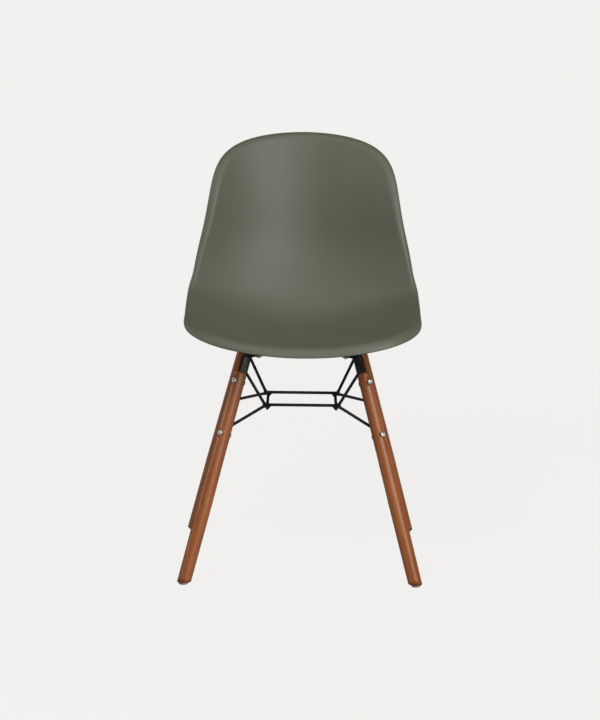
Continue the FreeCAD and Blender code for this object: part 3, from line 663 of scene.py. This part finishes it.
def ringEnd(sideX, sideY, drop):
    half = frameSizes["ringHalf"]
    return Vector((sideX * (half + frameSizes["braceOut"]), sideY * half - legFrame["forward"],
                   frameSizes["crossBarHeight"] - drop))


def barJoint(sideX, sideY, height):
    lean = legFrame["lean"]
    outward = frameSizes["barMiddle"]
    radius = frameSizes["footRadius"] + outward * math.cos(lean) - height * math.sin(lean)
    return Vector((sideX * radius / math.sqrt(2),
                   sideY * radius / math.sqrt(2) - legFrame["forward"],
                   outward * math.sin(lean) + height * math.cos(lean)))


def addBead(place, along, seed):
    # uneven ring of weld metal where a rod runs into its neighbour
    bpy.ops.mesh.primitive_torus_add(
        location=place, rotation=along.to_track_quat('Z', 'Y').to_euler(),
        major_segments=30, minor_segments=10,
        major_radius=frameSizes["rodRadius"], minor_radius=frameSizes["beadThick"])
    bead = bpy.context.object
    bpy.ops.object.mode_set(mode='EDIT')
    bpy.ops.mesh.select_all(action='SELECT')
    bpy.ops.transform.vertex_random(
        offset=frameSizes["beadUneven"], uniform=0.3, normal=0.7, seed=seed)
    bpy.ops.mesh.vertices_smooth(factor=0.5, repeat=2)
    backToObject()
    return bead


def makeWeldBeads():
    beads = []
    shift = frameSizes["rodRadius"] * frameSizes["beadShift"]
    lean = legFrame["lean"]
    for sideX, sideY in corners.values():
        for drop, height in ((0.0, frameSizes["upperJoint"]),
                             (frameSizes["lowerJointDrop"], frameSizes["lowerJoint"])):
            start = ringEnd(sideX, sideY, drop)
            end = barJoint(sideX, sideY, height)
            along = (end - start).normalized()
            inward = Vector((sideX * math.cos(lean) / math.sqrt(2),
                             sideY * math.cos(lean) / math.sqrt(2), math.sin(lean)))
            back = frameSizes["barHalf"] / max(along.dot(inward), 0.2)
            beads.append(addBead(start + along * shift, along, len(beads)))
            beads.append(addBead(end - along * back, along, len(beads)))
    pickOnly(beads[0])
    for bead in beads[1:]:
        bead.select_set(True)
    bpy.ops.object.join()
    welds = bpy.context.object
    settle(welds, "weldBeads")
    bpy.ops.object.shade_smooth()
    welds.data.materials.clear()
    welds.data.materials.append(blackSteel)
    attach(welds, "root")


makeWeldBeads()
print("weld beads laid")


# Studio

studio = {
    "paper": (0.888, 0.879, 0.863),    # the floor as the camera sees it
    "shadowDepth": 0.09,               # share of the floor's look that shadows can take
    "floorLight": 0.282,               # light that falls on the floor near the legs
    "shadowReach": (1.2, 3.5),         # metres from the chair where shadows fade out
    "bounce": 0.24,                    # light that the floor gives back to the chair
    "roomLight": 0.03,
    "lightLevel": 0.863,               # scales every softbox
    "aim": (0, 0, 0.6),                # the softboxes' target and their distance from it
    "away": 3.0,
    # azimuth from the front toward the viewer's right, elevation, edge length, watts
    "softboxes": {
        "keyLow": (35, 8, 1.3, 18),
        "frontHigh": (10, 60, 1.6, 14),
        "keyHigh": (35, 35, 1.5, 36),
        "frontFill": (12, 20, 1.3, 14),
        "topLeft": (-60, 48, 1.5, 15),
        "sideLeft": (-90, 15, 1.3, 14),
        "overhead": (0, 89, 1.3, 7),
        "rimRight": (130, 10, 1.3, 4),
        "rimLeft": (-130, 20, 1.3, 6),
    },
    "shadowLamp": (-22, 42, 0.8, 30),  # lights the floor alone
}


def makeFloor():
    bpy.ops.mesh.primitive_plane_add(size=240, location=(0, 0, 0))
    floor = bpy.context.object
    settle(floor, "studioFloor")
    # the camera sees plain paper, of which a small share takes shadows; the chair gets a bounce
    material, tree, shader, place = newMaterial("pale sweep", "floor")
    depth = studio["shadowDepth"]
    shader.inputs["Roughness"].default_value = 0.9
    shader.inputs["Specular IOR Level"].default_value = 0.0
    shader.inputs["Emission Strength"].default_value = 1.0
    reach = addNode(tree, 'ShaderNodeVectorMath', {"operation": 'LENGTH'})
    tree.links.new(place, reach.inputs[0])
    fade = addNode(tree, 'ShaderNodeMapRange', {"interpolation_type": 'SMOOTHSTEP'},
                   From_Min=studio["shadowReach"][0], From_Max=studio["shadowReach"][1],
                   To_Min=1.0, To_Max=0.0)
    tree.links.new(reach.outputs["Value"], fade.inputs["Value"])
    for socket, far, near in (
            ("Base Color", (0, 0, 0), [c * depth for c in studio["paper"]]),
            ("Emission Color", studio["paper"],
             [c * (1 - depth * studio["floorLight"]) for c in studio["paper"]])):
        mix = addNode(tree, 'ShaderNodeMix', {"data_type": 'RGBA'})
        mix.inputs[6].default_value = (*far, 1)
        mix.inputs[7].default_value = (*near, 1)
        tree.links.new(fade.outputs[0], mix.inputs[0])
        tree.links.new(mix.outputs[2], shader.inputs[socket])
    bounce = addNode(tree, 'ShaderNodeEmission', Strength=studio["bounce"])
    bounce.inputs["Color"].default_value = (*studio["paper"], 1)
    path = tree.nodes.new('ShaderNodeLightPath')
    choose = tree.nodes.new('ShaderNodeMixShader')
    tree.links.new(path.outputs["Is Camera Ray"], choose.inputs[0])
    tree.links.new(bounce.outputs[0], choose.inputs[1])
    tree.links.new(shader.outputs[0], choose.inputs[2])
    tree.links.new(choose.outputs[0], tree.nodes["Material Output"].inputs["Surface"])
    floor.data.materials.append(material)
    return floor


def addSoftbox(name, shinesOn, azimuth, elevation, edge, watts):
    light = bpy.data.lights.new(name, 'AREA')
    light.shape = 'SQUARE'
    light.size = edge
    light.energy = watts
    box = bpy.data.objects.new(name, light)
    bpy.context.scene.collection.objects.link(box)
    turn, lift = math.radians(azimuth), math.radians(elevation)
    aim = Vector(studio["aim"])
    box.location = aim + studio["away"] * Vector((math.sin(turn) * math.cos(lift),
                                                  -math.cos(turn) * math.cos(lift), math.sin(lift)))
    box.rotation_euler = (aim - box.location).to_track_quat('-Z', 'Y').to_euler()
    box.visible_camera = False
    box.light_linking.receiver_collection = shinesOn


def makeRoom():
    world = bpy.data.worlds.new("studioRoom")
    bpy.context.scene.world = world
    world.use_nodes = True
    tree = world.node_tree
    seen = tree.nodes["Background"]
    seen.inputs["Color"].default_value = (*studio["paper"], 1)
    seen.inputs["Strength"].default_value = 1.0
    lit = addNode(tree, 'ShaderNodeBackground')
    lit.inputs["Color"].default_value = (*studio["paper"], 1)
    lit.inputs["Strength"].default_value = studio["roomLight"]
    path = tree.nodes.new('ShaderNodeLightPath')
    mix = tree.nodes.new('ShaderNodeMixShader')
    tree.links.new(path.outputs["Is Camera Ray"], mix.inputs[0])
    tree.links.new(lit.outputs[0], mix.inputs[1])
    tree.links.new(seen.outputs[0], mix.inputs[2])
    tree.links.new(mix.outputs[0], tree.nodes["World Output"].inputs["Surface"])


floor = makeFloor()
makeRoom()
onFloor = bpy.data.collections.new("onFloor")
onChair = bpy.data.collections.new("onChair")
for obj in bpy.context.scene.objects:
    if obj.type == 'MESH':
        (onFloor if obj is floor else onChair).objects.link(obj)
for name, (azimuth, elevation, edge, watts) in studio["softboxes"].items():
    addSoftbox(name, onChair, azimuth, elevation, edge, watts * studio["lightLevel"])
addSoftbox("shadowLamp", onFloor, *studio["shadowLamp"])

photoCamera = {
    "place": (-0.0044, -4.8899, 1.2373),
    "down": 0.16986,           # radians below level
    "roll": 0.01187,
    "lens": 123.8,
    "sight": 400,              # metres, past the floor's end
}
camera = bpy.data.objects.new("photoCamera", bpy.data.cameras.new("photoCamera"))
bpy.context.scene.collection.objects.link(camera)
camera.data.lens = photoCamera["lens"]
camera.data.clip_end = photoCamera["sight"]
camera.matrix_world = (
    Matrix.Translation(photoCamera["place"])
    @ Matrix.Rotation(math.pi / 2 - photoCamera["down"], 4, 'X')
    @ Matrix.Rotation(photoCamera["roll"], 4, 'Z'))
bpy.context.scene.camera = camera
bpy.context.scene.view_settings.view_transform = 'Standard'
print("studio ready")
